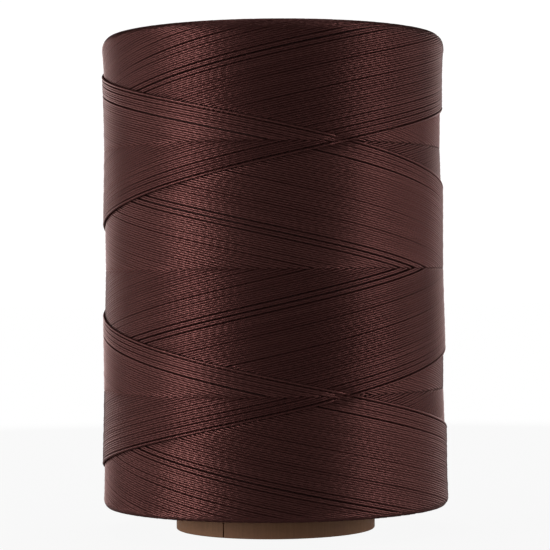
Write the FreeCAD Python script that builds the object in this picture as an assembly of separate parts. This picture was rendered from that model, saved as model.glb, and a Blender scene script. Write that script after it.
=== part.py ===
import FreeCAD, Part
import math
import os

# A cross-wound spool of leather thread: one continuous thread wound in two crossing helices
# on a rolled kraft-paper tube. Millimetres. The origin is the centre of the tube's bottom end,
# +Z runs up the tube's axis, and -Y is the side that carries the outer ply's seam.

# Paper tube
TUBE_LENGTH = 74.3
TUBE_OUTER_RADIUS = 14.9
PLY_THICKNESS = 0.28
PLY_NAMES = ["tube_inner_ply", "tube_second_ply", "tube_third_ply", "tube_fourth_ply", "tube_outer_ply"]
TUBE_EDGE_RADIUS = 0.2
SEAM_GAP = 0.2
OUTER_SEAM_ANGLE = -30.5
INNER_SEAM_ANGLE = 118.0

# Thread
THREAD_DIAMETER = 0.32
LAYER_THICKNESS = 0.28
START_TAIL_LENGTH = 42.0

# Wound package
PACKAGE_BOTTOM = 3.6
PACKAGE_TOP = 73.45
TOP_RADIUS = 25.7
WAIST_RADIUS = 25.4
BOTTOM_RADIUS = 25.9
WAIST_HEIGHT = 58.0
TOP_SHOULDER = 2.0
BOTTOM_SHOULDER = 1.1
FIRST_LAYERS = 2
LAST_LAYERS = 2
HALF_BUILD_RADIUS = 20.5

# Tucked end of the thread, on the back of the package
TUCKED_END_HEIGHT = 28.0
TUCKED_END_ARC = 60.0
WINDING_ANGLE = 12.6

AXIS = FreeCAD.Vector(0, 0, 1)
SIDE_MARGIN = 5.0


def point(radius, height):
    """A point of a half section, in the XZ plane."""
    return FreeCAD.Vector(radius, 0, height)


def arc(start, middle, end):
    return Part.Arc(start, middle, end).toShape()


def line(start, end):
    return Part.LineSegment(start, end).toShape()


def revolved(edges):
    """Solid of revolution about the tube's axis from a closed half section."""
    face = Part.Face(Part.Wire(edges))
    return face.revolve(FreeCAD.Vector(0, 0, 0), AXIS, 360)


def ring(inner_radius, outer_radius, bottom, top):
    outer = Part.makeCylinder(outer_radius, top - bottom, point(0, bottom))
    return outer.cut(Part.makeCylinder(inner_radius, top - bottom, point(0, bottom)))


def placed_at(shape, angle):
    """Turn a shape made on the -Y side to an angle about the axis, positive towards +X."""
    turned = shape.copy()
    turned.rotate(FreeCAD.Vector(0, 0, 0), AXIS, angle)
    return turned


def rounded_corner(radius, height, size, rise):
    """Outer corner arc from the side (start) to the end face; rise is +1 at the top, -1 at the bottom."""
    inset = size * (1 - math.sqrt(0.5))
    side = point(radius, height - rise * size)
    middle = point(radius - inset, height - rise * inset)
    end = point(radius - size, height)
    return side, middle, end


def tube_blank():
    """Full round bar with the tube's outside shape; both ends are burnished round."""
    low_side, low_middle, low_end = rounded_corner(TUBE_OUTER_RADIUS, 0, TUBE_EDGE_RADIUS, -1)
    top_side, top_middle, top_end = rounded_corner(TUBE_OUTER_RADIUS, TUBE_LENGTH, TUBE_EDGE_RADIUS, 1)
    return revolved([
        line(point(0, 0), low_end),
        arc(low_end, low_middle, low_side),
        line(low_side, top_side),
        arc(top_side, top_middle, top_end),
        line(top_end, point(0, TUBE_LENGTH)),
        line(point(0, TUBE_LENGTH), point(0, 0)),
    ])


def seam_cutter(angle):
    """Thin upright slab that parts the two edges of a wrapped ply."""
    depth = TUBE_OUTER_RADIUS + SIDE_MARGIN
    slab = Part.makeBox(SEAM_GAP, depth, TUBE_LENGTH, FreeCAD.Vector(-SEAM_GAP / 2, -depth, 0))
    return placed_at(slab, angle)


def tube_plies():
    """Kraft plies from the bore outwards; the first and last show a butt seam."""
    blank = tube_blank()
    bore_radius = TUBE_OUTER_RADIUS - PLY_THICKNESS * len(PLY_NAMES)
    seams = {PLY_NAMES[0]: INNER_SEAM_ANGLE, PLY_NAMES[-1]: OUTER_SEAM_ANGLE}
    plies = {}
    for index, name in enumerate(PLY_NAMES):
        inner_radius = bore_radius + index * PLY_THICKNESS
        outer_radius = inner_radius + PLY_THICKNESS
        if name == PLY_NAMES[-1]:
            outer_radius += SIDE_MARGIN
        ply = blank.common(ring(inner_radius, outer_radius, 0, TUBE_LENGTH))
        if name in seams:
            ply = ply.cut(seam_cutter(seams[name]))
        plies[name] = ply
    return plies


def package_blank():
    """Full round bar with the outside shape of the wound thread: soft shoulders and a slight waist."""
    low_side, low_middle, low_end = rounded_corner(BOTTOM_RADIUS, PACKAGE_BOTTOM, BOTTOM_SHOULDER, -1)
    top_side, top_middle, top_end = rounded_corner(TOP_RADIUS, PACKAGE_TOP, TOP_SHOULDER, 1)
    return revolved([
        line(point(0, PACKAGE_BOTTOM), low_end),
        arc(low_end, low_middle, low_side),
        line(low_side, point(WAIST_RADIUS, WAIST_HEIGHT)),
        line(point(WAIST_RADIUS, WAIST_HEIGHT), top_side),
        arc(top_side, top_middle, top_end),
        line(top_end, point(0, PACKAGE_TOP)),
        line(point(0, PACKAGE_TOP), point(0, PACKAGE_BOTTOM)),
    ])


def start_tail():
    """First end of the thread, laid straight up the tube on the seam's far side."""
    base = FreeCAD.Vector(-THREAD_DIAMETER / 2, -TUBE_OUTER_RADIUS - LAYER_THICKNESS, PACKAGE_BOTTOM)
    strip = Part.makeBox(THREAD_DIAMETER, SIDE_MARGIN, START_TAIL_LENGTH, base)
    wall = ring(TUBE_OUTER_RADIUS, TUBE_OUTER_RADIUS + SIDE_MARGIN, PACKAGE_BOTTOM, PACKAGE_TOP)
    return placed_at(strip.common(wall), OUTER_SEAM_ANGLE + 180)


def side_radius(height):
    """Package radius on the straight side between the bottom shoulder and the waist."""
    bottom = PACKAGE_BOTTOM + BOTTOM_SHOULDER
    return BOTTOM_RADIUS + (WAIST_RADIUS - BOTTOM_RADIUS) * (height - bottom) / (WAIST_HEIGHT - bottom)


def tucked_end():
    """Last end of the thread, on the back, half sunk between its neighbours and laid at the winding angle."""
    path_radius = side_radius(TUCKED_END_HEIGHT)
    bend = Part.makeTorus(path_radius, THREAD_DIAMETER / 2, FreeCAD.Vector(0, 0, 0), AXIS, 0, 360, TUCKED_END_ARC)
    bend.rotate(FreeCAD.Vector(0, 0, 0), AXIS, 90 - TUCKED_END_ARC / 2)
    bend.rotate(FreeCAD.Vector(0, 0, 0), FreeCAD.Vector(0, 1, 0), WINDING_ANGLE)
    bend.translate(FreeCAD.Vector(0, 0, TUCKED_END_HEIGHT))
    return bend


def wound_thread():
    """The thread's length in the order it was wound, as coaxial stages, with its two ends."""
    blank = package_blank()
    tail = start_tail()
    tucked = tucked_end()
    first_radius = TUBE_OUTER_RADIUS + FIRST_LAYERS * LAYER_THICKNESS
    last_radius = WAIST_RADIUS - LAST_LAYERS * LAYER_THICKNESS

    def stage(inner_radius, outer_radius):
        return blank.common(ring(inner_radius, outer_radius, PACKAGE_BOTTOM, PACKAGE_TOP))

    return {
        "thread_start_tail": tail,
        "thread_first_layers": stage(TUBE_OUTER_RADIUS, first_radius).cut(tail),
        "thread_inner_build": stage(first_radius, HALF_BUILD_RADIUS),
        "thread_outer_build": stage(HALF_BUILD_RADIUS, last_radius),
        "thread_last_layers": stage(last_radius, BOTTOM_RADIUS + SIDE_MARGIN).cut(tucked),
        "thread_tucked_end": tucked,
    }


def main():
    os.makedirs("parts", exist_ok=True)
    nodes = {**tube_plies(), **wound_thread()}
    for name, shape in nodes.items():
        solids = shape.Solids
        if len(solids) != 1 or not shape.isValid():
            raise ValueError(f"{name}: {len(solids)} solids, valid {shape.isValid()}")
        box = shape.optimalBoundingBox()
        print(f"{name}: {shape.Volume:.2f} mm3, z {box.ZMin:.2f}..{box.ZMax:.2f}, radius {box.XMax:.2f}")
        solids[0].exportStep(f"parts/{name}.step")


main()
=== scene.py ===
"""Looks of a cross-wound spool of leather thread on a rolled kraft-paper tube.

Lengths are in metres. The spool's axis is Z. Angles round the spool start at -Y, its front,
and grow towards +X.
"""

import math

import bpy
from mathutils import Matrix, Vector


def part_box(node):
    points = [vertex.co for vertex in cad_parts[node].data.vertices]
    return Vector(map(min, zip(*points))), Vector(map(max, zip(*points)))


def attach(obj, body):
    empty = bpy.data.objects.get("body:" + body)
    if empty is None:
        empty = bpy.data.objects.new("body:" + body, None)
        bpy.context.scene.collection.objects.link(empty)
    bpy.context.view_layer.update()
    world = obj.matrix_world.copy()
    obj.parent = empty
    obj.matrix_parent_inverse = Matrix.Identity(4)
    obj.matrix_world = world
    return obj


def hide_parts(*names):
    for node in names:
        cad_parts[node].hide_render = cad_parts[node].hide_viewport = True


bl_info = {
    "name": "Wound Thread Spool",
    "version": (1, 0, 0),
    "blender": (4, 5, 0),
    "location": "View3D > Sidebar > Thread Spool",
    "description": "Builds the looks of a cross-wound thread spool around its CAD frame",
    "category": "Object",
}

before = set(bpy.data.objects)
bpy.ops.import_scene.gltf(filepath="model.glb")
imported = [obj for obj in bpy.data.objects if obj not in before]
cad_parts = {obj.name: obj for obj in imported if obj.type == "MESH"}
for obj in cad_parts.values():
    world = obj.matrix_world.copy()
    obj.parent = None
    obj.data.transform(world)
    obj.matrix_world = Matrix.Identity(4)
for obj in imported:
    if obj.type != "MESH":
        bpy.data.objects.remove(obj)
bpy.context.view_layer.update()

MM = 0.001
TURN = 2 * math.pi
WHITE = (1.0, 1.0, 1.0, 1.0)

# Sizes that the frame gives
BUILD_LOW, BUILD_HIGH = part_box("thread_outer_build")
TAIL_LOW, TAIL_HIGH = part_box("thread_tucked_end")
TUBE_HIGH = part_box("tube_outer_ply")[1]
PACKAGE_BOTTOM = BUILD_LOW.z
PACKAGE_TOP = BUILD_HIGH.z
PACKAGE_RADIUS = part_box("thread_last_layers")[1].x
TUBE_RADIUS = TUBE_HIGH.x

# The winding
THREADS_ROUND = 108
TURNS_PER_TRIP = 2
STEP_ANGLE = math.radians(3.0)
TIP_ANGLE = math.radians(202.5)
SEED = 7
# Each way of the winding is two pieces: the newest threads up to this one, and the older rest
NEWEST_THREADS = 34
# Wider gaps in the last layers: how many threads back, and the gap as a share of the thread spacing
RISING_GAPS = ((0.5, 0.55), (3.5, 0.45), (5.5, 0.35), (9.5, 0.2), (24.5, 0.35), (34.5, 0.2),
               (43.5, 0.65), (45.5, 0.7), (47.5, 0.65), (57.5, 0.25), (70.5, 0.3), (88.5, 0.25))
FALLING_GAPS = ((0.5, 0.55), (2.5, 0.35), (4.5, 0.35), (7.5, 0.5), (12.5, 0.2), (24.5, 0.2), (34.5, 0.2),
                (43.5, 0.65), (45.5, 0.7), (47.5, 0.6), (57.5, 0.2), (70.5, 0.25), (88.5, 0.2))
# A gap pushes its neighbours aside with less and less force over about this many threads
GAP_REACH = 3.0
# A gap at least this wide stays open all the way
STEADY_GAP = 0.5
# Width of a thread that lies pressed between its neighbours, as a multiple of its thickness
FLATTENED = 1.34
# Each thread lies up to this much lower than a perfect layer
LOOSENESS = 0.04 * MM
STRAND_SIDES = 6
# Added before a row number is rounded down, so that the first point of a row counts with it
ROW_START = 0.5 / 1000.0

# Shape of the package: loss of radius per unit of height, extra radius near the ends, and round shoulders
TAPER = 0.0078
BOTTOM_BULGE = 0.3 * MM
TOP_BULGE = 0.85 * MM
BULGE_LENGTH = 4.0 * MM
BOTTOM_SHOULDER = 1.1 * MM
TOP_SHOULDER = 2.0 * MM
# Where the threads would turn back if their reversals were sharp, beyond each end face
BELOW_BOTTOM = 0.57 * MM
ABOVE_TOP = 1.05 * MM

# Body of thread under the last layers: how far it stays inside them, which is also its chamfer
BODY_DEPTH = 0.5 * MM
BODY_SIDES = 180
TUBE_CLEARANCE = 0.01 * MM

# End faces: distance between rings, reversal arcs in a ring, points along an arc, and drop at an arc's ends
RING_SPACING = 0.29 * MM
ARCS_IN_RING = 6
ARC_STEPS = 26
ARC_SAG = 0.35 * MM
FACE_SHOULDER = 1.0 * MM
# The face falls away past its shoulder by the square of the distance times this, per metre
FACE_FALL = 900.0

# Tucked end: depth of its two ends below the newest layer, as shares of the build, and the lift of its tip
TUCKED_END_STEPS = 80
TUCKED_END_SHARES = (0.52, 0.20)
TIP_LIFT = 0.15 * MM

# Bumps of all the materials
BUMP_DISTANCE = 0.05 * MM

# Softboxes round the spool: name, angle from the front and elevation in degrees, width in metres,
# and share of the power
SOFTBOXES = (
    ("key_left", -57, 0, 0.30, 3.0),
    ("rim_left", -102, 0, 0.28, 0.74),
    ("key_right", 68, 0, 0.28, 1.50),
    ("rim_right", 103, 0, 0.28, 0.70),
    ("back_left", -147, 0, 0.40, 1.02),
    ("back_right", 146, 0, 0.40, 0.76),
    ("high_back", 180, 60, 0.40, 0.60),
    ("overhead", 180, 84, 0.45, 0.30),
)
SOFTBOX_DISTANCE = 0.6
SOFTBOX_HEIGHT = 0.3
FLOOR_HALF_WIDTH = 3.0
FLOOR_LEVEL = -0.01 * MM
BACKDROP_STRENGTH = 1.05
SENSOR_WIDTH = 36.0
CAMERA_SHIFT = (0.0022, 0.0109)


class Wire:
    """An output socket. Arithmetic on it adds Math nodes to its tree."""

    def __init__(self, graph, socket):
        self.graph = graph
        self.socket = socket

    def __add__(self, other):
        return self.graph.math("ADD", self, other)

    def __radd__(self, other):
        return self.graph.math("ADD", other, self)

    def __sub__(self, other):
        return self.graph.math("SUBTRACT", self, other)

    def __rsub__(self, other):
        return self.graph.math("SUBTRACT", other, self)

    def __mul__(self, other):
        return self.graph.math("MULTIPLY", self, other)

    def __truediv__(self, other):
        return self.graph.math("DIVIDE", self, other)

    def __rtruediv__(self, other):
        return self.graph.math("DIVIDE", other, self)

    def __mod__(self, other):
        return self.graph.math("FLOORED_MODULO", self, other)

    def __gt__(self, other):
        return self.graph.math("GREATER_THAN", self, other)

    def __lt__(self, other):
        return self.graph.math("LESS_THAN", self, other)

    def function(self, operation):
        """One-argument Math node, such as SINE or FLOOR."""
        return self.graph.math(operation, self)

    def at_least(self, other):
        return self.graph.math("MAXIMUM", self, other)

    def at_most(self, other):
        return self.graph.math("MINIMUM", self, other)

    def smooth(self, low, high):
        """0 below low, 1 above high, and an eased ramp between them."""
        sockets = {"Value": self, "From Min": low, "From Max": high}
        return self.graph.add("ShaderNodeMapRange", {"interpolation_type": "SMOOTHSTEP"}, sockets)


class Graph:
    """Adds nodes to one shader or geometry node tree."""

    def __init__(self, tree):
        self.tree = tree
        tree.nodes.clear()

    def add(self, kind, settings=None, sockets=None, out=0):
        """Make a node, apply its settings, then fill its sockets with values or links."""
        node = self.tree.nodes.new(kind)
        for name, value in (settings or {}).items():
            setattr(node, name, value)
        by_identifier = {socket.identifier: socket for socket in node.inputs}
        for key, value in (sockets or {}).items():
            socket = by_identifier[key] if key in by_identifier else node.inputs[key]
            if isinstance(value, Wire):
                self.tree.links.new(value.socket, socket)
            else:
                socket.default_value = value
        return Wire(self, node.outputs[out]) if node.outputs else node

    def math(self, operation, *values):
        sockets = dict(zip(("Value", "Value_001"), values))
        return self.add("ShaderNodeMath", {"operation": operation}, sockets)

    def vector(self, x, y, z):
        return self.add("ShaderNodeCombineXYZ", sockets={"X": x, "Y": y, "Z": z})

    def parts(self, vector):
        """X, Y and Z of a vector."""
        return [self.add("ShaderNodeSeparateXYZ", sockets={"Vector": vector}, out=i) for i in range(3)]

    def noise(self, vector, scale, detail=2.0, roughness=0.5):
        sockets = {"Vector": vector, "Scale": scale, "Detail": detail, "Roughness": roughness}
        return self.add("ShaderNodeTexNoise", sockets=sockets)

    def random(self, key):
        """A number from 0 to 1 that is fixed by the key."""
        return self.add("ShaderNodeTexWhiteNoise", {"noise_dimensions": "1D"}, {"W": key})

    def bump(self, height, strength):
        sockets = {"Height": height, "Strength": strength, "Distance": BUMP_DISTANCE}
        return self.add("ShaderNodeBump", sockets=sockets)

    def blend(self, factor, first, second):
        """Colour mix: first where factor is 0, second where it is 1."""
        sockets = {"Factor_Float": factor, "A_Color": first, "B_Color": second}
        return self.add("ShaderNodeMix", {"data_type": "RGBA"}, sockets, out=2)


# Materials


def new_material(name):
    material = bpy.data.materials.new(name)
    material.use_nodes = True
    return material, Graph(material.node_tree)


def finish_material(graph, surface):
    graph.add("ShaderNodeOutputMaterial", sockets={"Surface": surface})


def attribute(graph, name):
    """A named attribute of the mesh, as a vector."""
    return graph.add("ShaderNodeAttribute", {"attribute_name": name}, out=1)


def rgba(colour):
    return (*colour, 1.0)


def thread_material(settings):
    """Plied, lightly waxed thread: dark brown, satin along each turn, grooves between its plies, with
    painted shade in the grooves and a painted highlight on the falling threads.

    "lay" gives the length along the thread, a tone of its own and the way that it runs. "around" gives
    the direction from the thread's middle to its surface.
    """
    graph = new_material("wound_thread")[1]
    along, shade, way = graph.parts(attribute(graph, "lay"))
    side, crest = graph.parts(attribute(graph, "around"))[:2]
    angle = graph.math("ARCTAN2", crest, side)
    twist = angle + along * (TURN / settings.twist_length)
    plies = (twist * 1.5).function("SINE").function("ABSOLUTE")
    spread = graph.vector(along * 900.0, twist * 2.0, shade * 50.0)
    fibres = graph.noise(spread, 1.0, 2.0)
    patches = graph.noise(graph.vector(along * 60.0, shade * 90.0, 0.0), 1.0, 2.0)
    speckle = graph.noise(graph.vector(along * 3000.0, twist, shade * 50.0), 1.0, 2.0)
    # The plies term is painted shade: darker in the grooves between plies, lighter on their crests. Shade,
    # patches and speckle are the thread's own random tone.
    tone = shade * 0.25 + patches * 0.3 + plies * 0.1 + (speckle - 0.5) * 0.9 + 0.25
    # way lifts the falling threads and lowers the rising ones: a painted highlight for the sheen that
    # differs with the direction of the thread
    light = (tone + way * settings.painted_way_highlight).smooth(0.15, 1.0)
    # shadow_colour is painted shade, the colour that the grooves take
    colour = graph.blend(light, rgba(settings.shadow_colour), rgba(settings.thread_colour))
    height = plies + fibres * 0.5
    surface = graph.add("ShaderNodeBsdfPrincipled", sockets={
        "Base Color": colour,
        "Metallic": settings.thread_metallic,
        "Roughness": settings.thread_roughness,
        "Specular IOR Level": 0.3,
        "Specular Tint": rgba(settings.sheen_colour),
        "Normal": graph.bump(height, 0.4),
    })
    finish_material(graph, surface)


def depth_material(settings):
    """The turns below the last layers, seen only as dark lines in the gaps; their dark colour is painted
    shade.
    """
    graph = new_material("buried_thread")[1]
    x, y, z = graph.parts(graph.add("ShaderNodeTexCoord", out=3))
    angle = graph.math("ARCTAN2", x, y)
    along = angle * 17.0
    rise = z / (0.33 * MM)
    falling = ((along + rise) * TURN).function("SINE")
    rising = ((along - rise) * TURN).function("SINE")
    height = falling.at_least(rising)
    # Painted shade: the dark gap colour in the troughs between the buried turns, the groove shade on their
    # crests
    colour = graph.blend(height.smooth(-1.0, 1.0), rgba(settings.gap_shade_colour), rgba(settings.shadow_colour))
    surface = graph.add("ShaderNodeBsdfPrincipled", sockets={
        "Base Color": colour,
        "Roughness": 0.7,
        "Normal": graph.bump(height, 0.4),
    })
    finish_material(graph, surface)


def kraft_material(name, settings, colour, streak_depth):
    """Kraft paper rolled on a mandrel: upright streaks, partly fibre grain and partly painted shade of
    faint wrinkles, warmer bands and faint blotches.
    """
    material, graph = new_material(name)
    position = graph.add("ShaderNodeTexCoord", out=3)
    x, y, z = graph.parts(position)
    angle = graph.math("ARCTAN2", x, y * -1.0)
    bands = graph.noise(graph.vector(angle * 2.6, z * 8.0, 3.0), 1.0, 3.0, 0.6)
    streaks = graph.noise(graph.vector(angle * 60.0, z * 120.0, 0.0), 1.0, 3.0, 0.6)
    fibres = graph.noise(position, 2400.0, 3.0, 0.7)
    blotches = graph.noise(graph.vector(angle * 15.0, z * 60.0, 0.0), 0.35, 2.0)
    warm = graph.blend(bands.smooth(0.3, 0.7), rgba(settings.kraft_warm), rgba(colour))
    tone = (streaks * 0.5 + fibres * 0.3 + blotches * 0.2).smooth(0.25, 0.75)
    # Darker upright streaks: partly the paper's grain, partly painted shade of faint wrinkles in the ply
    streak_colour = [channel * (1 - streak_depth) for channel in colour]
    worn = graph.blend(tone, rgba(streak_colour), warm)
    surface = graph.add("ShaderNodeBsdfPrincipled", sockets={
        "Base Color": worn,
        "Roughness": fibres * 0.2 + 0.6,
        "Specular IOR Level": 0.3,
        "Normal": graph.bump(fibres * 0.6 + streaks * 0.4, 0.35),
    })
    finish_material(graph, surface)
    return material


# Geometry trees


def geometry_graph(name, inputs):
    """A geometry tree whose named inputs are the keys of inputs, with (socket type, default)."""
    tree = bpy.data.node_groups.new(name, "GeometryNodeTree")
    graph = Graph(tree)
    tree.interface.new_socket("Geometry", in_out="OUTPUT", socket_type="NodeSocketGeometry")
    for label, (kind, default) in inputs.items():
        item = tree.interface.new_socket(label, in_out="INPUT", socket_type=kind)
        if default is not None:
            item.default_value = default
    source = tree.nodes.new("NodeGroupInput")
    wires = {socket.name: Wire(graph, socket) for socket in source.outputs if socket.name}
    return graph, wires


def finish_geometry(graph, geometry, material):
    realized = graph.add("GeometryNodeRealizeInstances", sockets={"Geometry": geometry})
    painted = graph.add("GeometryNodeSetMaterial", sockets={"Geometry": realized, "Material": material})
    graph.add("NodeGroupOutput", sockets={"Geometry": painted})
    return graph.tree


def strands(graph, line, hidden, position, lay, diameter):
    """Round closed strands along the kept stretches of a line of vertices."""
    kept = graph.add("GeometryNodeSetPosition", sockets={"Geometry": line, "Position": position})
    kept = graph.add("GeometryNodeStoreNamedAttribute", {"data_type": "FLOAT_VECTOR"},
                     {"Geometry": kept, "Name": "lay", "Value": lay})
    kept = graph.add("GeometryNodeDeleteGeometry", sockets={"Geometry": kept, "Selection": hidden})
    path = graph.add("GeometryNodeMeshToCurve", sockets={"Mesh": kept})
    path = graph.add("GeometryNodeSetCurveNormal", {"mode": "Z_UP"}, {"Curve": path})
    circle = {"Resolution": STRAND_SIDES, "Radius": diameter / 2}
    profile = graph.add("GeometryNodeCurvePrimitiveCircle", sockets=circle)
    around = graph.add("GeometryNodeInputPosition")
    rim = graph.add("ShaderNodeVectorMath", {"operation": "NORMALIZE"}, {"Vector": around})
    profile = graph.add("GeometryNodeStoreNamedAttribute", {"data_type": "FLOAT_VECTOR"},
                        {"Geometry": profile, "Name": "around", "Value": rim})
    pressed = {"Geometry": profile, "Scale": (1.0, FLATTENED, 1.0)}
    profile = graph.add("GeometryNodeTransform", sockets=pressed)
    tubes = graph.add("GeometryNodeCurveToMesh", sockets={
        "Curve": path,
        "Profile Curve": profile,
        "Fill Caps": True,
    })
    return graph.add("GeometryNodeSetShadeSmooth", sockets={"Geometry": tubes, "Shade Smooth": True})


def cylindrical(graph, radius, angle, height):
    """A point from its distance to the axis, its angle from the front, and its height."""
    return graph.vector(radius * angle.function("SINE"), radius * angle.function("COSINE") * -1.0, height)


def gap_shift(graph, thread, swept, gaps):
    """How far a thread is pushed aside by the gaps near it, as a share of the spacing.

    A narrow gap opens and closes on its way along the threads, and a wide one stays open.
    """
    shift = thread * 0.0
    for place, width in gaps:
        offset = thread - place
        push = (offset.function("ABSOLUTE") * (-1.0 / GAP_REACH)).function("EXPONENT") * (width / 2)
        if width < STEADY_GAP:
            openness = graph.noise(graph.vector(swept * 0.9, place * 1.7, 0.0), 1.0, 1.0).smooth(0.32, 0.56)
            push = push * (openness * 0.7 + 0.1)
        shift = shift + push * offset.function("SIGN")
    return shift


def rounded_off(size, distance):
    """Depth that a round shoulder takes off at a distance from the end face."""
    reach = (size - distance).at_least(0.0)
    return size - (size * size - reach * reach).at_least(0.0).function("SQRT")


def winding_tree(gaps):
    """One way of the winding: threads laid side by side from a reversal at one end to the other end.

    Each thread carries its age, the angle by which newer threads have moved on. A stretch shows only where
    the crossing threads are older, and it dives under its neighbours where it is covered. "Way" is 1 for
    threads that run down and -1 for threads that run up.
    """
    number = "NodeSocketFloat"
    graph, given = geometry_graph("winding", {
        "First Thread": ("NodeSocketInt", 0),
        "Thread Count": ("NodeSocketInt", 10),
        "Steps": ("NodeSocketInt", 241),
        "Sweep": (number, 2 * TURN),
        "Gain": (number, 0.058),
        "Tip Angle": (number, 0.0),
        "Start Height": (number, 0.0),
        "End Height": (number, 0.07),
        "Start Rounding": (number, 0.3),
        "End Rounding": (number, 0.5),
        "Low Radius": (number, 0.0257),
        "Taper": (number, 0.0),
        "Bottom Bulge": (number, 0.0003),
        "Top Bulge": (number, 0.0009),
        "Bulge Length": (number, 0.004),
        "Bottom Shoulder": (number, 0.001),
        "Top Shoulder": (number, 0.002),
        "Bottom": (number, 0.0),
        "Top": (number, 0.07),
        "Build": (number, 0.0005),
        "Thread Diameter": (number, 0.0003),
        "Tuck Length": (number, 0.001),
        "Unevenness": (number, 0.1),
        "Phase": (number, 0.0),
        "Way": (number, 0.0),
        "Material": ("NodeSocketMaterial", None),
    })
    steps = given["Steps"]
    index = graph.add("GeometryNodeInputIndex")
    row = (index / steps + ROW_START).function("FLOOR")
    step = index - row * steps
    thread = row + given["First Thread"]
    swept = step * (given["Sweep"] / (steps - 1.0))
    age = thread * given["Gain"]

    line = graph.add("GeometryNodeMeshLine", sockets={"Count": steps * given["Thread Count"]})

    # Rounded reversals at both ends of the trip
    start_left = (given["Start Rounding"] - swept).at_least(0.0)
    end_left = (given["End Rounding"] - (given["Sweep"] - swept)).at_least(0.0)
    run = swept + start_left * start_left / (given["Start Rounding"] * 2.0)
    run = run - end_left * end_left / (given["End Rounding"] * 2.0)
    height = given["Start Height"] + (given["End Height"] - given["Start Height"]) * run / given["Sweep"]

    # Uneven spacing: each thread has its own place, and it wanders a little on its way
    random = graph.random(thread + given["Phase"])
    drift = graph.noise(graph.vector(thread * 0.31, swept * 1.3, given["Phase"] * 1.7), 1.0, 2.0) - 0.5
    end_distance = (height - given["Bottom"]).at_most(given["Top"] - height)
    slack = (end_distance * -1.0 / given["Bulge Length"]).function("EXPONENT").at_most(1.0) * 1.4 + 1.0
    scatter = (random - 0.5 + drift * 2.0) * given["Unevenness"] * slack
    aside = gap_shift(graph, thread, swept, gaps) + scatter
    angle = given["Tip Angle"] - (thread + aside) * given["Gain"] + swept

    # Where the stretch is covered: phase runs from the newest crossing thread to the seam row
    phase = (swept * 2.0 - age) % TURN
    shown = TURN - age
    tuck = given["Tuck Length"] * 2.0 / given["Low Radius"]
    near_tip = 1.0 - (swept.at_most(given["Sweep"] - swept)).smooth(0.2, 0.7)
    past_seam = (phase - shown) / (tuck * (1.0 + near_tip * 3.0))
    before_front = (TURN - phase) / tuck
    covered = (past_seam > 1.0) * (before_front > 1.0)
    seam_dive = past_seam.smooth(-0.2, 0.9)
    under_front = (before_front < 1.0).at_least(1.0 - (phase / tuck).smooth(0.0, 1.2))
    room = given["Thread Diameter"] * 1.15 - age * given["Build"] / TURN
    room = room.at_least(given["Thread Diameter"] * 0.2)
    dive = (seam_dive * given["Thread Diameter"] * 0.9).at_least(under_front * room)
    dive = dive * (1.0 - near_tip * 0.8)

    # Distance from the axis: taper, end bulges, shoulders, and the layers laid since
    above = height - given["Bottom"]
    below = given["Top"] - height
    bulge = (above * -1.0 / given["Bulge Length"]).function("EXPONENT") * given["Bottom Bulge"]
    bulge = bulge + (below * -1.0 / given["Bulge Length"]).function("EXPONENT") * given["Top Bulge"]
    rounding = rounded_off(given["Bottom Shoulder"], above) + rounded_off(given["Top Shoulder"], below)
    loose = (random * 91.7).function("FRACT") * LOOSENESS
    radius = given["Low Radius"] - above * given["Taper"] + bulge
    radius = radius - rounding - age * given["Build"] / TURN
    radius = radius - dive - given["Thread Diameter"] / 2 - loose

    row_break = step < 0.5
    hidden = (covered + row_break) > 0.5
    along = swept * given["Low Radius"] + random * 0.05
    # The way, third part of lay, makes the thread material paint the falling threads lighter, a painted
    # highlight
    lay = graph.vector(along, (random * 37.3).function("FRACT"), given["Way"])
    position = cylindrical(graph, radius, angle, height)
    tubes = strands(graph, line, hidden, position, lay, given["Thread Diameter"])
    return finish_geometry(graph, tubes, given["Material"])


def face_tree():
    """Reversal arcs of all the layers on one end of the package, ring beside ring."""
    number = "NodeSocketFloat"
    graph, given = geometry_graph("end_face", {
        "Rings": ("NodeSocketInt", 36),
        "Arcs": ("NodeSocketInt", ARCS_IN_RING),
        "Steps": ("NodeSocketInt", ARC_STEPS),
        "Inner Radius": (number, 0.015),
        "Spacing": (number, 0.00029),
        "Height": (number, 0.07),
        "Outward": (number, 1.0),
        "Sag": (number, 0.0004),
        "Shoulder Radius": (number, 0.0245),
        "Thread Diameter": (number, 0.0003),
        "Phase": (number, 0.0),
        "Material": ("NodeSocketMaterial", None),
    })
    steps = given["Steps"]
    index = graph.add("GeometryNodeInputIndex")
    arc = (index / steps + ROW_START).function("FLOOR")
    step = index - arc * steps
    ring = (arc / given["Arcs"] + ROW_START).function("FLOOR")
    part = arc - ring * given["Arcs"]
    line = graph.add("GeometryNodeMeshLine", sockets={"Count": steps * given["Arcs"] * given["Rings"]})
    share = (step - 1.0) / (steps - 2.0)
    random = graph.random(arc + given["Phase"])
    turn = TURN / given["Arcs"]
    angle = ring * 2.4 + part * turn + share * turn * 1.35 + random * turn * 0.3
    from_apex = share * 2.0 - 1.0
    sag = from_apex * from_apex * given["Sag"] + random * 0.12 * MM
    radius = given["Inner Radius"] + (ring + (random - 0.5) * 0.4 + from_apex * 0.35) * given["Spacing"]
    past = (radius - given["Shoulder Radius"]).at_least(0.0)
    height = given["Height"] - given["Outward"] * (sag + past * past * FACE_FALL)
    lay = graph.vector(step * 1.1 * MM + arc * 0.0137, random, 0.0)
    position = cylindrical(graph, radius, angle, height)
    tubes = strands(graph, line, step < 0.5, position, lay, given["Thread Diameter"])
    return finish_geometry(graph, tubes, given["Material"])


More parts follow.
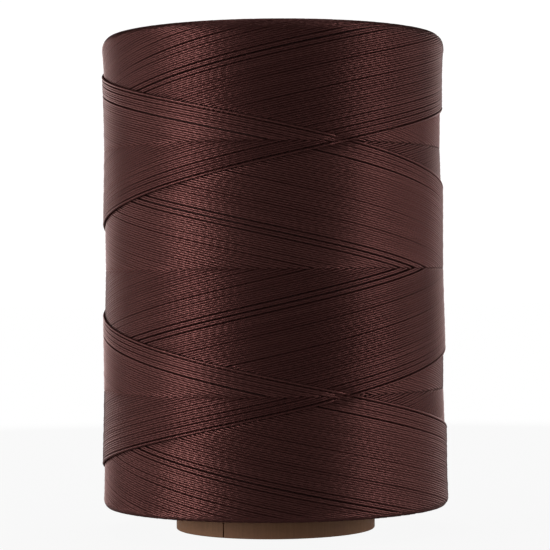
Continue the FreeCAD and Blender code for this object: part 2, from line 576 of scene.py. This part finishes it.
def loose_end_tree():
    """The last end of the thread: it comes out from under its neighbours and stops at a cut tip."""
    number = "NodeSocketFloat"
    graph, given = geometry_graph("loose_end", {
        "Steps": ("NodeSocketInt", TUCKED_END_STEPS),
        "Start Angle": (number, 2.6),
        "End Angle": (number, 3.6),
        "Start Height": (number, 0.025),
        "End Height": (number, 0.031),
        "Start Radius": (number, 0.0255),
        "End Radius": (number, 0.0255),
        "Tip Lift": (number, 0.0002),
        "Thread Diameter": (number, 0.0003),
        "Material": ("NodeSocketMaterial", None),
    })
    index = graph.add("GeometryNodeInputIndex")
    line = graph.add("GeometryNodeMeshLine", sockets={"Count": given["Steps"]})
    share = index / (given["Steps"] - 1.0)
    angle = given["Start Angle"] + (given["End Angle"] - given["Start Angle"]) * share
    sway = (share * TURN * 0.8).function("SINE") * (share * (1.0 - share)) * given["Thread Diameter"] * 3.0
    height = given["Start Height"] + (given["End Height"] - given["Start Height"]) * share + sway
    buried = (1.0 - share.smooth(0.0, 0.09)) * given["Thread Diameter"] * 1.4
    lifted = share.smooth(0.9, 1.0) * given["Tip Lift"]
    radius = given["Start Radius"] + (given["End Radius"] - given["Start Radius"]) * share
    radius = radius - buried + lifted
    # The loose end counts as a falling thread and takes the same painted highlight
    lay = graph.vector((angle - given["Start Angle"]) * given["Start Radius"], 0.6, 1.0)
    position = cylindrical(graph, radius, angle, height)
    tubes = strands(graph, line, share > 1.5, position, lay, given["Thread Diameter"])
    return finish_geometry(graph, tubes, given["Material"])


def grown(name, tree, values):
    """Evaluate a geometry tree with the given inputs and keep the result as a plain mesh object."""
    host = bpy.data.objects.new(name, bpy.data.meshes.new(name + "_seed"))
    bpy.context.scene.collection.objects.link(host)
    modifier = host.modifiers.new("Grow", "NODES")
    modifier.node_group = tree
    for item in tree.interface.items_tree:
        if item.in_out == "INPUT" and item.name in values:
            modifier[item.identifier] = values[item.name]
    depsgraph = bpy.context.evaluated_depsgraph_get()
    mesh = bpy.data.meshes.new_from_object(host.evaluated_get(depsgraph), depsgraph=depsgraph)
    host.modifiers.clear()
    host.data = mesh
    if not mesh.polygons:
        raise RuntimeError(f"{name} came out empty")
    return host


def lathe(name, outline, sides):
    """Closed ring turned about the axis from a closed outline of (radius, height) points."""
    vertices = []
    faces = []
    count = len(outline)
    for side in range(sides):
        angle = TURN * side / sides
        for radius, height in outline:
            vertices.append((radius * math.sin(angle), -radius * math.cos(angle), height))
        following = (side + 1) % sides
        for i in range(count):
            j = (i + 1) % count
            faces.append((side * count + i, following * count + i, following * count + j, side * count + j))
    mesh = bpy.data.meshes.new(name)
    mesh.from_pydata(vertices, [], faces)
    mesh.update()
    obj = bpy.data.objects.new(name, mesh)
    bpy.context.scene.collection.objects.link(obj)
    return obj


def set_on_root(piece, slot, *nodes):
    """Hang a finished piece on the spool and let it stand for CAD nodes."""
    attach(piece, "root")
    if nodes:
        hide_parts(*nodes)


# Settings


class SpoolThreadSettings(bpy.types.PropertyGroup):
    diameter: bpy.props.FloatProperty(
        name="Thread Diameter", description="Thickness of the thread", default=0.32 * MM, unit="LENGTH")
    twist_length: bpy.props.FloatProperty(
        name="Twist Length", description="Length of one full turn of the plies",
        default=3.6 * MM, unit="LENGTH")
    build: bpy.props.FloatProperty(
        name="Build", description="Growth of the package while the winding goes once round",
        default=0.52 * MM, unit="LENGTH")
    tuck: bpy.props.FloatProperty(
        name="Tuck Length", description="Length over which a covered thread dives under its neighbours",
        default=1.6 * MM, unit="LENGTH")
    unevenness: bpy.props.FloatProperty(
        name="Unevenness", description="Scatter of the thread spacing, as a share of it",
        default=0.14, subtype="FACTOR")
    thread_colour: bpy.props.FloatVectorProperty(
        name="Thread Colour", description="Lit colour of the thread",
        default=(0.160, 0.062, 0.056), subtype="COLOR", min=0, max=1)
    # Painted shade: the colour that the grooves between plies take
    shadow_colour: bpy.props.FloatVectorProperty(
        name="Groove Shade Colour", description="Colour in the grooves between plies",
        default=(0.108, 0.039, 0.036), subtype="COLOR", min=0, max=1)
    # Painted shade: the colour of the buried turns seen deep in the gaps
    gap_shade_colour: bpy.props.FloatVectorProperty(
        name="Gap Shade Colour", description="Colour deep in the gaps between threads",
        default=(0.028, 0.011, 0.010), subtype="COLOR", min=0, max=1)
    sheen_colour: bpy.props.FloatVectorProperty(
        name="Sheen Colour", description="Tint of the gloss where the thread is seen edge on",
        default=(0.92, 0.76, 0.74), subtype="COLOR", min=0, max=1)
    # Painted highlight: how much lighter the falling threads are painted than the rising ones
    painted_way_highlight: bpy.props.FloatProperty(
        name="Way Highlight", description="How much lighter falling threads look than rising ones",
        default=0.16, subtype="FACTOR")
    thread_metallic: bpy.props.FloatProperty(
        name="Coloured Gloss", description="Share of the gloss that takes the thread's own colour",
        default=0.84, subtype="FACTOR")
    thread_roughness: bpy.props.FloatProperty(
        name="Thread Roughness", description="Roughness of the thread's satin finish",
        default=0.38, subtype="FACTOR")


class SpoolTubeSettings(bpy.types.PropertyGroup):
    kraft_colour: bpy.props.FloatVectorProperty(
        name="Outer Kraft Colour", description="Colour of the outer ply",
        default=(0.35, 0.18, 0.095), subtype="COLOR", min=0, max=1)
    kraft_warm: bpy.props.FloatVectorProperty(
        name="Kraft Band Colour", description="Redder bands in the outer ply",
        default=(0.30, 0.145, 0.083), subtype="COLOR", min=0, max=1)
    inner_colour: bpy.props.FloatVectorProperty(
        name="Inner Kraft Colour", description="Colour of the plies inside",
        default=(0.47, 0.29, 0.17), subtype="COLOR", min=0, max=1)


class SpoolStageSettings(bpy.types.PropertyGroup):
    floor_colour: bpy.props.FloatVectorProperty(
        name="Floor Colour", description="Colour of the pale floor",
        default=(0.90, 0.90, 0.90), subtype="COLOR", min=0, max=1)
    floor_glow: bpy.props.FloatProperty(
        name="Floor Glow", description="How nearly the floor shows plain white, as over a light table",
        default=0.92, subtype="FACTOR")
    floor_fade: bpy.props.FloatProperty(
        name="Floor Fade", description="Distance at which the floor blends into the backdrop",
        default=0.25, unit="LENGTH")
    camera_distance: bpy.props.FloatProperty(
        name="Camera Distance", description="From the spool's axis to the camera",
        default=0.3111, unit="LENGTH")
    camera_height: bpy.props.FloatProperty(
        name="Camera Height", description="Height of the camera above the floor",
        default=0.03705, unit="LENGTH")
    camera_roll: bpy.props.FloatProperty(
        name="Camera Roll", description="Lean of the camera about its own axis",
        default=math.radians(0.45), subtype="ANGLE")
    lens: bpy.props.FloatProperty(
        name="Lens", description="Focal length in millimetres", default=135.3)
    power: bpy.props.FloatProperty(
        name="Light Power", description="Power that the softboxes share out", default=0.82, unit="POWER")
    fill: bpy.props.FloatProperty(
        name="Fill", description="Strength of the even light from all sides", default=0.02)


# Operators


def winding_values(settings, falling, first, count):
    """Inputs of the winding tree for threads first to first + count of one way."""
    gain = TURN / THREADS_ROUND
    sweep = TURNS_PER_TRIP * TURN + gain / 2
    low_turn = PACKAGE_BOTTOM - BELOW_BOTTOM
    high_turn = PACKAGE_TOP + ABOVE_TOP
    rise = (high_turn - low_turn) / sweep
    low_rounding = 2 * (PACKAGE_BOTTOM + settings.diameter / 2 - low_turn) / rise
    high_rounding = 2 * (high_turn - PACKAGE_TOP + settings.diameter / 2) / rise
    ends = (high_turn, low_turn) if falling else (low_turn, high_turn)
    roundings = (high_rounding, low_rounding) if falling else (low_rounding, high_rounding)
    return {
        "First Thread": first,
        "Thread Count": count,
        "Steps": round(sweep / STEP_ANGLE) + 1,
        "Sweep": sweep,
        "Gain": gain,
        "Tip Angle": TIP_ANGLE + (gain / 2 if falling else 0.0),
        "Start Height": ends[0],
        "End Height": ends[1],
        "Start Rounding": roundings[0],
        "End Rounding": roundings[1],
        "Low Radius": PACKAGE_RADIUS,
        "Taper": TAPER,
        "Bottom Bulge": BOTTOM_BULGE,
        "Top Bulge": TOP_BULGE,
        "Bulge Length": BULGE_LENGTH,
        "Bottom Shoulder": BOTTOM_SHOULDER,
        "Top Shoulder": TOP_SHOULDER,
        "Bottom": PACKAGE_BOTTOM,
        "Top": PACKAGE_TOP,
        "Build": settings.build,
        "Thread Diameter": settings.diameter,
        "Tuck Length": settings.tuck,
        "Unevenness": settings.unevenness,
        "Phase": float(SEED),
        "Way": 1.0 if falling else -1.0,
        "Material": thread_materials()["thread"],
    }


def thread_materials():
    """The two thread materials, made once."""
    made = bpy.data.materials
    if "wound_thread" not in made:
        settings = bpy.context.scene.spool_thread
        thread_material(settings)
        depth_material(settings)
    return {"thread": made["wound_thread"], "depth": made["buried_thread"]}


class SPOOL_OT_wound_layers(bpy.types.Operator):
    """Wind the two outermost layers as real threads"""

    bl_idname = "spool.wound_layers"
    bl_label = "Wind the Last Layers"

    def execute(self, context):
        settings = context.scene.spool_thread
        parts = (("newer", 0, NEWEST_THREADS), ("older", NEWEST_THREADS, THREADS_ROUND))
        for way, gaps in (("rising", RISING_GAPS), ("falling", FALLING_GAPS)):
            tree = winding_tree(gaps)
            for part, first, last in parts:
                values = winding_values(settings, way == "falling", first, last - first)
                piece = grown(f"thread_{way}_turns_{part}", tree, values)
                set_on_root(piece, "leather_thread", "thread_last_layers")
        return {"FINISHED"}


class SPOOL_OT_inner_build(bpy.types.Operator):
    """Turn the body of thread that lies under the last layers, painted dark as shade"""

    bl_idname = "spool.inner_build"
    bl_label = "Turn the Inner Build"

    def execute(self, context):
        settings = context.scene.spool_thread
        inner = TUBE_RADIUS + TUBE_CLEARANCE
        outer = PACKAGE_RADIUS - settings.build - settings.diameter - BODY_DEPTH
        low = PACKAGE_BOTTOM + BODY_DEPTH
        high = PACKAGE_TOP - BODY_DEPTH
        outline = [(inner, low), (outer - BODY_DEPTH, low), (outer, low + BODY_DEPTH),
                   (outer, high - BODY_DEPTH), (outer - BODY_DEPTH, high), (inner, high)]
        piece = lathe("thread_inner_turns", outline, BODY_SIDES)
        piece.data.materials.append(thread_materials()["depth"])
        set_on_root(piece, "leather_thread", "thread_start_tail", "thread_first_layers",
                    "thread_inner_build", "thread_outer_build")
        return {"FINISHED"}


class SPOOL_OT_tucked_end(bpy.types.Operator):
    """Lay the last end of the thread over the back of the package"""

    bl_idname = "spool.tucked_end"
    bl_label = "Lay the Tucked End"

    def execute(self, context):
        settings = context.scene.spool_thread
        half_arc = math.asin(TAIL_HIGH.x / TAIL_HIGH.y)
        ends = (TAIL_LOW.z + settings.diameter / 2, TAIL_HIGH.z - settings.diameter / 2)
        radii = [PACKAGE_RADIUS - (height - PACKAGE_BOTTOM) * TAPER - settings.build * share
                 for height, share in zip(ends, TUCKED_END_SHARES)]
        piece = grown("thread_loose_end", loose_end_tree(), {
            "Steps": TUCKED_END_STEPS,
            "Start Angle": math.pi - half_arc,
            "End Angle": math.pi + half_arc,
            "Start Height": ends[0],
            "End Height": ends[1],
            "Start Radius": radii[0],
            "End Radius": radii[1],
            "Tip Lift": TIP_LIFT,
            "Thread Diameter": settings.diameter,
            "Material": thread_materials()["thread"],
        })
        set_on_root(piece, "leather_thread", "thread_tucked_end")
        return {"FINISHED"}


class SPOOL_OT_end_faces(bpy.types.Operator):
    """Lay the reversal arcs that make the flat ends of the package"""

    bl_idname = "spool.end_faces"
    bl_label = "Lay the End Faces"

    def execute(self, context):
        settings = context.scene.spool_thread
        inner = TUBE_RADIUS + settings.diameter * 0.6
        outer = PACKAGE_RADIUS - settings.build - settings.diameter
        rings = int((outer - inner) / RING_SPACING)
        tree = face_tree()
        for end, outward, face in (("bottom", -1.0, PACKAGE_BOTTOM), ("top", 1.0, PACKAGE_TOP)):
            piece = grown(f"thread_{end}_face", tree, {
                "Rings": rings,
                "Arcs": ARCS_IN_RING,
                "Steps": ARC_STEPS,
                "Inner Radius": inner,
                "Spacing": RING_SPACING,
                "Height": face - outward * settings.diameter / 2,
                "Outward": outward,
                "Sag": ARC_SAG,
                "Shoulder Radius": outer - FACE_SHOULDER,
                "Thread Diameter": settings.diameter,
                "Phase": SEED + outward * 400.0,
                "Material": thread_materials()["thread"],
            })
            set_on_root(piece, "leather_thread", "thread_outer_build")
        return {"FINISHED"}


class SPOOL_OT_paper_tube(bpy.types.Operator):
    """Paint the plies of the paper tube"""

    bl_idname = "spool.paper_tube"
    bl_label = "Paint the Paper Tube"

    def execute(self, context):
        settings = context.scene.spool_tube
        outer = kraft_material("kraft_outer", settings, settings.kraft_colour, 0.35)
        inner = kraft_material("kraft_inner", settings, settings.inner_colour, 0.25)
        for name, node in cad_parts.items():
            if name.startswith("tube_"):
                node.data.materials.clear()
                node.data.materials.append(outer if name == "tube_outer_ply" else inner)
        return {"FINISHED"}


def area_light(name, angle, elevation, width, power):
    """Soft light on a sphere round the spool's middle, aimed at it."""
    data = bpy.data.lights.new(name, "AREA")
    data.shape = "RECTANGLE"
    data.size = width
    data.size_y = SOFTBOX_HEIGHT
    data.energy = power
    light = bpy.data.objects.new(name, data)
    away = SOFTBOX_DISTANCE * math.cos(elevation)
    middle = Vector((0, 0, TUBE_HIGH.z / 2))
    rise = SOFTBOX_DISTANCE * math.sin(elevation)
    reach = Vector((away * math.sin(angle), -away * math.cos(angle), rise))
    light.location = middle + reach
    light.rotation_euler = (-reach).to_track_quat("-Z", "Y").to_euler()
    light.visible_camera = False
    bpy.context.scene.collection.objects.link(light)


class SPOOL_OT_studio(bpy.types.Operator):
    """Set up the pale floor, the soft lights and the camera"""

    bl_idname = "spool.studio"
    bl_label = "Set Up the Studio"

    def execute(self, context):
        settings = context.scene.spool_stage
        self.add_floor(settings)
        self.add_world(context.scene, settings)
        for name, angle, elevation, width, share in SOFTBOXES:
            area_light(name, math.radians(angle), math.radians(elevation), width, share * settings.power)
        self.add_camera(context.scene, settings)
        context.scene.view_settings.view_transform = "Standard"
        return {"FINISHED"}

    def add_floor(self, settings):
        half = FLOOR_HALF_WIDTH
        mesh = bpy.data.meshes.new("floor")
        corners = ((-half, -half), (half, -half), (half, half), (-half, half))
        mesh.from_pydata([(x, y, FLOOR_LEVEL) for x, y in corners], [], [(0, 1, 2, 3)])
        floor = bpy.data.objects.new("floor", mesh)
        bpy.context.scene.collection.objects.link(floor)
        material, graph = new_material("pale_floor")
        x, y = graph.parts(graph.add("ShaderNodeTexCoord", out=3))[:2]
        away = (x * x + y * y).function("SQRT").smooth(0.2 * settings.floor_fade, settings.floor_fade)
        matt = graph.add("ShaderNodeBsdfDiffuse", sockets={"Color": rgba(settings.floor_colour)})
        glow = graph.add("ShaderNodeEmission", sockets={"Color": WHITE, "Strength": 1.0})
        seen = graph.add("ShaderNodeLightPath")
        lit = seen * away.at_least(settings.floor_glow)
        surface = graph.add("ShaderNodeMixShader", sockets={"Fac": lit, "Shader": matt, "Shader_001": glow})
        finish_material(graph, surface)
        mesh.materials.append(material)

    def add_world(self, scene, settings):
        world = bpy.data.worlds.new("studio")
        world.use_nodes = True
        scene.world = world
        graph = Graph(world.node_tree)
        backdrop = self.add_glow(graph, BACKDROP_STRENGTH)
        fill = self.add_glow(graph, settings.fill)
        seen = graph.add("ShaderNodeLightPath")
        sockets = {"Fac": seen, "Shader": fill, "Shader_001": backdrop}
        surface = graph.add("ShaderNodeMixShader", sockets=sockets)
        graph.add("ShaderNodeOutputWorld", sockets={"Surface": surface})

    def add_glow(self, graph, strength):
        return graph.add("ShaderNodeBackground", sockets={"Color": WHITE, "Strength": strength})

    def add_camera(self, scene, settings):
        data = bpy.data.cameras.new("camera")
        data.lens = settings.lens
        data.sensor_width = SENSOR_WIDTH
        data.shift_x, data.shift_y = CAMERA_SHIFT
        camera = bpy.data.objects.new("camera", data)
        camera.location = (0, -settings.camera_distance, settings.camera_height)
        camera.rotation_euler = (math.radians(90), settings.camera_roll, 0)
        scene.collection.objects.link(camera)
        scene.camera = camera


class SPOOL_PT_panel(bpy.types.Panel):
    bl_label = "Thread Spool"
    bl_space_type = "VIEW_3D"
    bl_region_type = "UI"
    bl_category = "Thread Spool"

    def draw(self, context):
        for group in (context.scene.spool_thread, context.scene.spool_tube, context.scene.spool_stage):
            box = self.layout.box()
            for name in group.bl_rna.properties.keys():
                if name not in ("rna_type", "name"):
                    box.prop(group, name)
        for operator in OPERATORS:
            self.layout.operator(operator.bl_idname)


GROUPS = {
    "spool_thread": SpoolThreadSettings,
    "spool_tube": SpoolTubeSettings,
    "spool_stage": SpoolStageSettings,
}
OPERATORS = (
    SPOOL_OT_studio,
    SPOOL_OT_paper_tube,
    SPOOL_OT_inner_build,
    SPOOL_OT_end_faces,
    SPOOL_OT_wound_layers,
    SPOOL_OT_tucked_end,
)


def register():
    for name, group in GROUPS.items():
        bpy.utils.register_class(group)
        setattr(bpy.types.Scene, name, bpy.props.PointerProperty(type=group))
    for operator in OPERATORS:
        bpy.utils.register_class(operator)
    bpy.utils.register_class(SPOOL_PT_panel)


def unregister():
    bpy.utils.unregister_class(SPOOL_PT_panel)
    for operator in reversed(OPERATORS):
        bpy.utils.unregister_class(operator)
    for name, group in GROUPS.items():
        delattr(bpy.types.Scene, name)
        bpy.utils.unregister_class(group)


def main():
    register()
    for operator in OPERATORS:
        family, action = operator.bl_idname.split(".")
        getattr(getattr(bpy.ops, family), action)()


if __name__ == "__main__":
    main()
